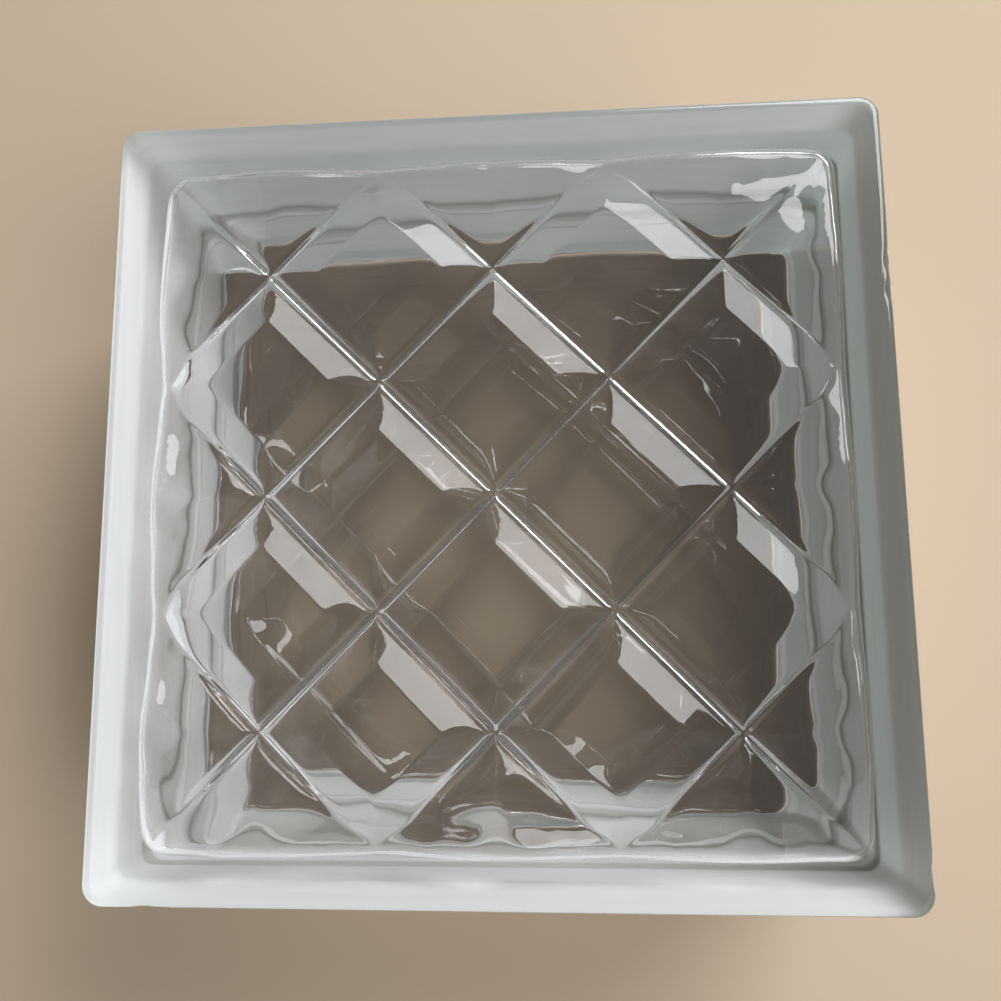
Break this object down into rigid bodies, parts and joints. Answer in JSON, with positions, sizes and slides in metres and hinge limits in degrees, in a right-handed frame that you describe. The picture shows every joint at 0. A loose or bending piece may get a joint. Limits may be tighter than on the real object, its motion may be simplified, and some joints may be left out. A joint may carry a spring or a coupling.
{
  "type": "glass block",
  "caption": "Square hollow glass building block with a pressed diamond pattern inside both faces, clear faces and a white-coated mortar recess round its edge.",
  "frame": {"origin": "centre of the rear face, which the block lies on", "axes": "+Z from the rear face to the front face; X and Y along the sides of the square"},
  "size_m": [0.19, 0.19, 0.08],
  "materials": {
    "clear_glass": "clear pressed glass, fire-polished, with a thin white coating on the mortar recess"
  },
  "bodies": {
    "root": {"glass_block": "clear_glass"}
  },
  "joints": []
}
